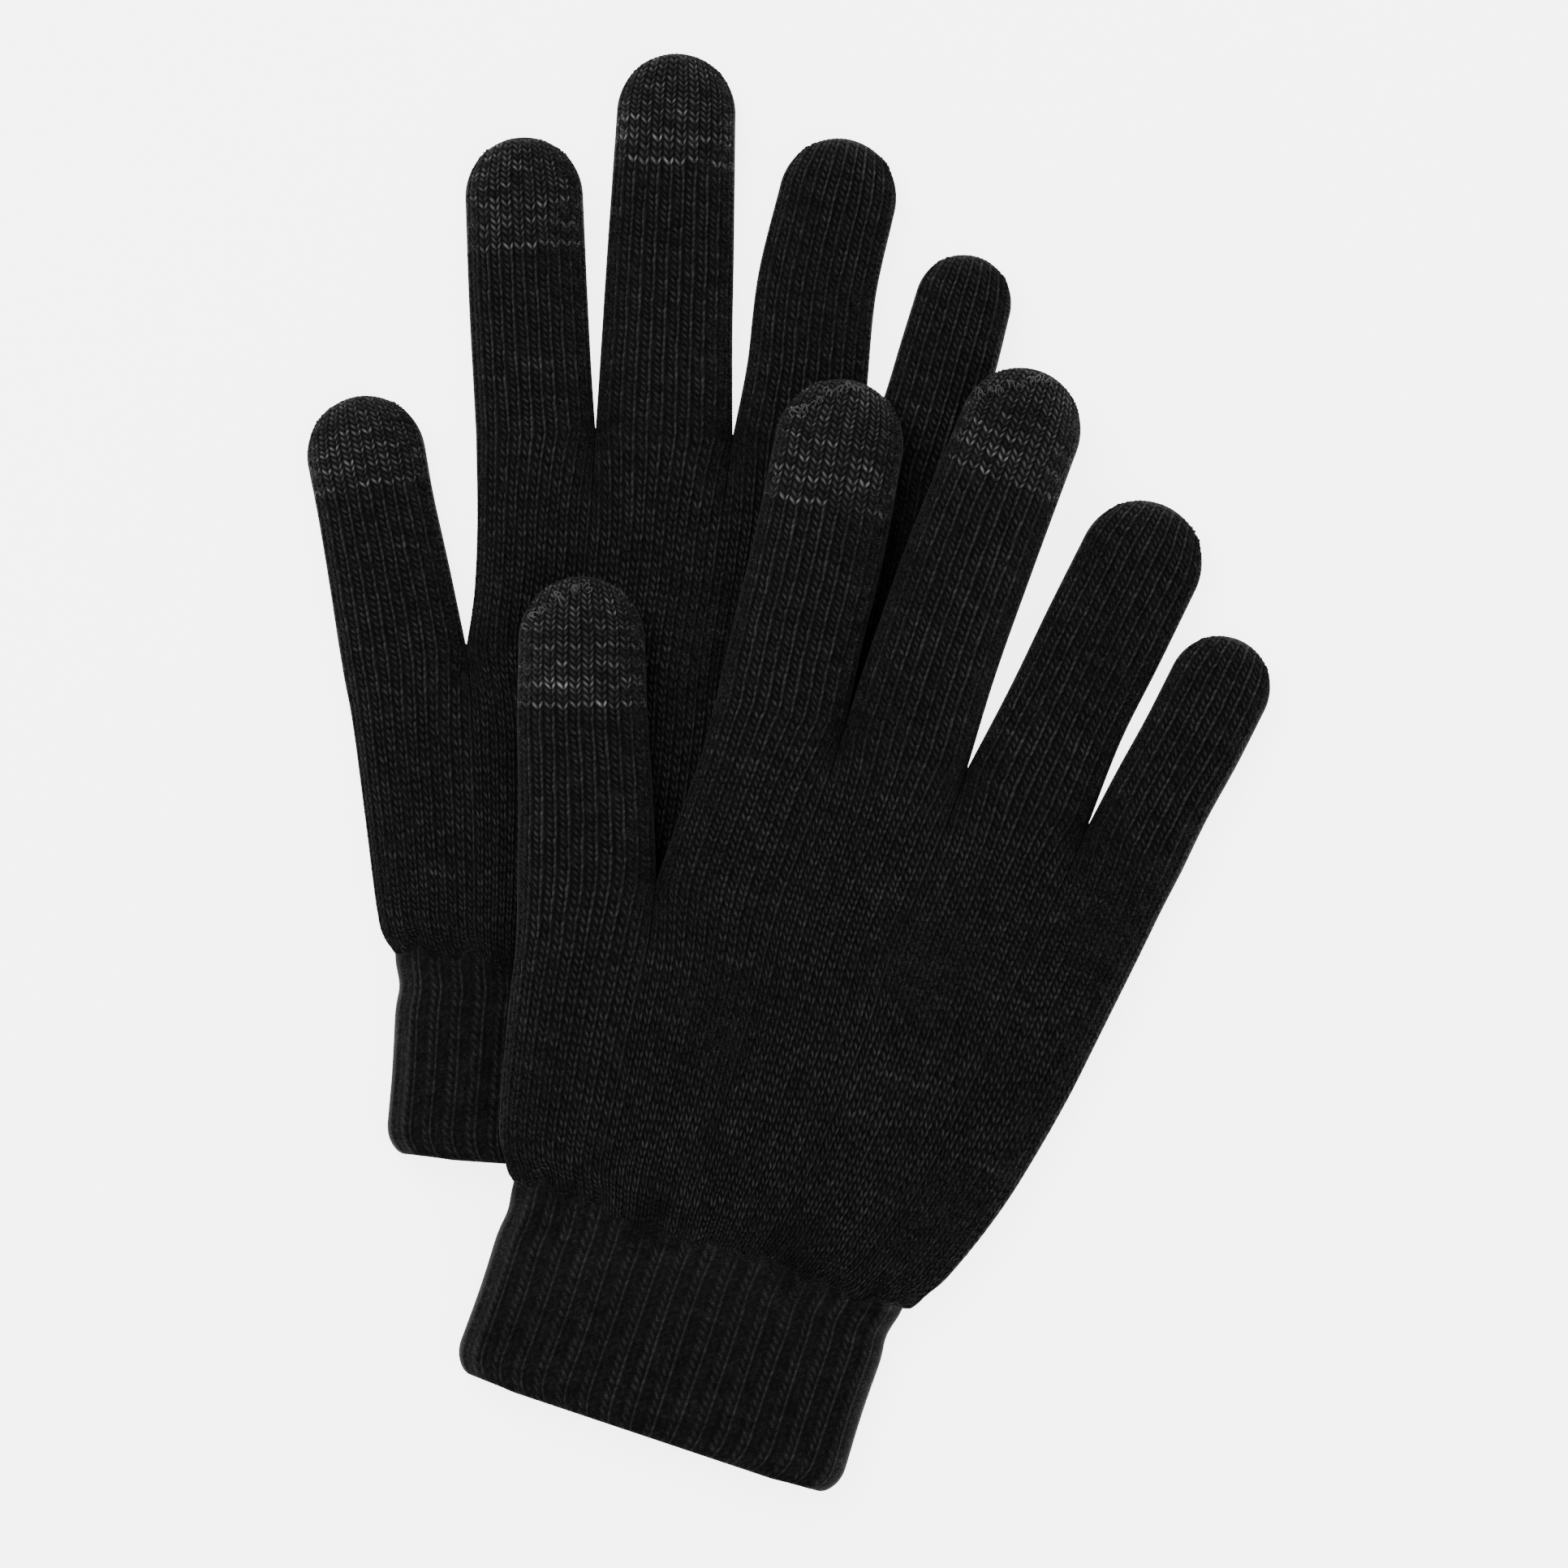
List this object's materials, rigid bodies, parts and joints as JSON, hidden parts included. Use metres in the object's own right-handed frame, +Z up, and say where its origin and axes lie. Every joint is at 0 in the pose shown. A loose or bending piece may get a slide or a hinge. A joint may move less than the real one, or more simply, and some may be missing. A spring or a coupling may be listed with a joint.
{
  "type": "touchscreen gloves",
  "caption": "Pair of thin stretch-knit gloves with ribbed cuffs and conductive knit on the thumb, index and middle fingertips, one lying partly over the other.",
  "frame": {"origin": "on the surface the gloves lie on, under the centre of the pair's bounding box", "axes": "+Z up, square to the flat gloves; +Y along the under glove's long direction towards its fingertips, less its four degrees of turn; +X to the right, from the under glove towards the over glove"},
  "size_m": [0.1896, 0.2828, 0.021],
  "materials": {
    "black_knit": "matte plain-knit wool-like acrylic, soft sheen",
    "rib_knit": "matte one-by-one rib knit",
    "conductive_knit": "black knit plated with fine silvery grey conductive yarn, soft metallic glint",
    "elastic": "matte covered rubber thread"
  },
  "bodies": {
    "under_hand": {"under_palm_lower": "black_knit", "under_palm_upper": "black_knit", "under_cuff": "rib_knit", "under_cuff_hem": "rib_knit", "under_cuff_elastic": "elastic", "under_ring_base": "black_knit", "under_little_base": "black_knit"},
    "under_thumb": {"under_thumb_base": "black_knit"},
    "under_thumb_fore": {"under_thumb_end": "black_knit", "under_thumb_tip": "conductive_knit"},
    "under_index": {"under_index_base": "black_knit"},
    "under_index_fore": {"under_index_end": "black_knit", "under_index_tip": "conductive_knit"},
    "under_middle": {"under_middle_base": "black_knit"},
    "under_middle_fore": {"under_middle_end": "black_knit", "under_middle_tip": "conductive_knit"},
    "under_ring_fore": {"under_ring_end": "black_knit"},
    "under_little_fore": {"under_little_end": "black_knit"},
    "over_hand": {"over_palm_lower": "black_knit", "over_palm_upper": "black_knit", "over_cuff": "rib_knit", "over_cuff_hem": "rib_knit", "over_cuff_elastic": "elastic"},
    "over_thumb": {"over_thumb_base": "black_knit"},
    "over_thumb_fore": {"over_thumb_end": "black_knit", "over_thumb_tip": "conductive_knit"},
    "over_index": {"over_index_base": "black_knit"},
    "over_index_fore": {"over_index_end": "black_knit", "over_index_tip": "conductive_knit"},
    "over_middle": {"over_middle_base": "black_knit"},
    "over_middle_fore": {"over_middle_end": "black_knit", "over_middle_tip": "conductive_knit"},
    "over_ring": {"over_ring_base": "black_knit"},
    "over_ring_fore": {"over_ring_end": "black_knit"},
    "over_little": {"over_little_base": "black_knit"},
    "over_little_fore": {"over_little_end": "black_knit"}
  },
  "joints": [
    {"name": "under_thumb_root", "type": "hinge", "parent": "under_hand", "child": "under_thumb", "pos_m": [-0.0762, 0.02334, 0.0102], "axis": [0.9849, 0.1733, 0], "range_deg": [0, 70]},
    {"name": "under_thumb_knuckle", "type": "hinge", "parent": "under_thumb", "child": "under_thumb_fore", "pos_m": [-0.08082, 0.04771, 0.0102], "axis": [0.9839, 0.1785, 0], "range_deg": [0, 70]},
    {"name": "under_index_root", "type": "hinge", "parent": "under_hand", "child": "under_index", "pos_m": [-0.0499, 0.06761, 0.0102], "axis": [0.9992, 0.0408, 0], "range_deg": [0, 70]},
    {"name": "under_index_knuckle", "type": "hinge", "parent": "under_index", "child": "under_index_fore", "pos_m": [-0.05146, 0.09366, 0.0102], "axis": [0.9987, 0.0513, 0], "range_deg": [0, 70]},
    {"name": "under_middle_root", "type": "hinge", "parent": "under_hand", "child": "under_middle", "pos_m": [-0.02465, 0.06745, 0.0102], "axis": [0.9989, -0.0476, 0], "range_deg": [0, 70]},
    {"name": "under_middle_knuckle", "type": "hinge", "parent": "under_middle", "child": "under_middle_fore", "pos_m": [-0.02346, 0.10113, 0.0102], "axis": [0.9988, -0.0498, 0], "range_deg": [0, 70]},
    {"name": "under_ring_knuckle", "type": "hinge", "parent": "under_hand", "child": "under_ring_fore", "pos_m": [0.00504, 0.0937, 0.0102], "axis": [0.9919, -0.1268, 0], "range_deg": [0, 85]},
    {"name": "under_little_knuckle", "type": "hinge", "parent": "under_hand", "child": "under_little_fore", "pos_m": [0.03209, 0.08548, 0.0102], "axis": [0.9629, -0.2699, 0], "range_deg": [0, 85]},
    {"name": "over_glove_lift", "type": "slide", "parent": "under_hand", "child": "over_hand", "axis": [0, 0, 1], "range_m": [0, 0.08]},
    {"name": "over_thumb_root", "type": "hinge", "parent": "over_hand", "child": "over_thumb", "pos_m": [-0.03971, -0.02036, 0.0212], "axis": [0.9999, -0.0139, 0], "range_deg": [0, 70]},
    {"name": "over_thumb_knuckle", "type": "hinge", "parent": "over_thumb", "child": "over_thumb_fore", "pos_m": [-0.0404, 0.00706, 0.0212], "axis": [0.9991, 0.042, 0], "range_deg": [0, 70]},
    {"name": "over_index_root", "type": "hinge", "parent": "over_hand", "child": "over_index", "pos_m": [-0.00174, 0.01244, 0.0212], "axis": [0.9788, -0.2048, 0], "range_deg": [0, 70]},
    {"name": "over_index_knuckle", "type": "hinge", "parent": "over_index", "child": "over_index_fore", "pos_m": [0.00515, 0.0421, 0.0212], "axis": [0.9747, -0.2236, 0], "range_deg": [0, 70]},
    {"name": "over_middle_root", "type": "hinge", "parent": "over_hand", "child": "over_middle", "pos_m": [0.02287, 0.00563, 0.0212], "axis": [0.9445, -0.3285, 0], "range_deg": [0, 70]},
    {"name": "over_middle_knuckle", "type": "hinge", "parent": "over_middle", "child": "over_middle_fore", "pos_m": [0.03416, 0.03952, 0.0212], "axis": [0.9386, -0.345, 0], "range_deg": [0, 70]},
    {"name": "over_ring_root", "type": "hinge", "parent": "over_hand", "child": "over_ring", "pos_m": [0.04681, -0.00413, 0.01893], "axis": [0.9061, -0.4231, 0], "range_deg": [0, 70]},
    {"name": "over_ring_knuckle", "type": "hinge", "parent": "over_ring", "child": "over_ring_fore", "pos_m": [0.05948, 0.02336, 0.01569], "axis": [0.8976, -0.4408, 0], "range_deg": [0, 70]},
    {"name": "over_little_root", "type": "hinge", "parent": "over_hand", "child": "over_little", "pos_m": [0.068, -0.01422, 0.0102], "axis": [0.8985, -0.439, 0], "range_deg": [0, 70]},
    {"name": "over_little_knuckle", "type": "hinge", "parent": "over_little", "child": "over_little_fore", "pos_m": [0.08089, 0.01022, 0.0102], "axis": [0.8918, -0.4523, 0], "range_deg": [0, 70]}
  ],
  "couplings": [
    {"joint": "under_thumb_knuckle", "follows": "under_thumb_root", "ratio": 1},
    {"joint": "under_index_knuckle", "follows": "under_index_root", "ratio": 1},
    {"joint": "under_middle_knuckle", "follows": "under_middle_root", "ratio": 1},
    {"joint": "over_thumb_knuckle", "follows": "over_thumb_root", "ratio": 1},
    {"joint": "over_index_knuckle", "follows": "over_index_root", "ratio": 1},
    {"joint": "over_middle_knuckle", "follows": "over_middle_root", "ratio": 1},
    {"joint": "over_ring_knuckle", "follows": "over_ring_root", "ratio": 1},
    {"joint": "over_little_knuckle", "follows": "over_little_root", "ratio": 1}
  ]
}
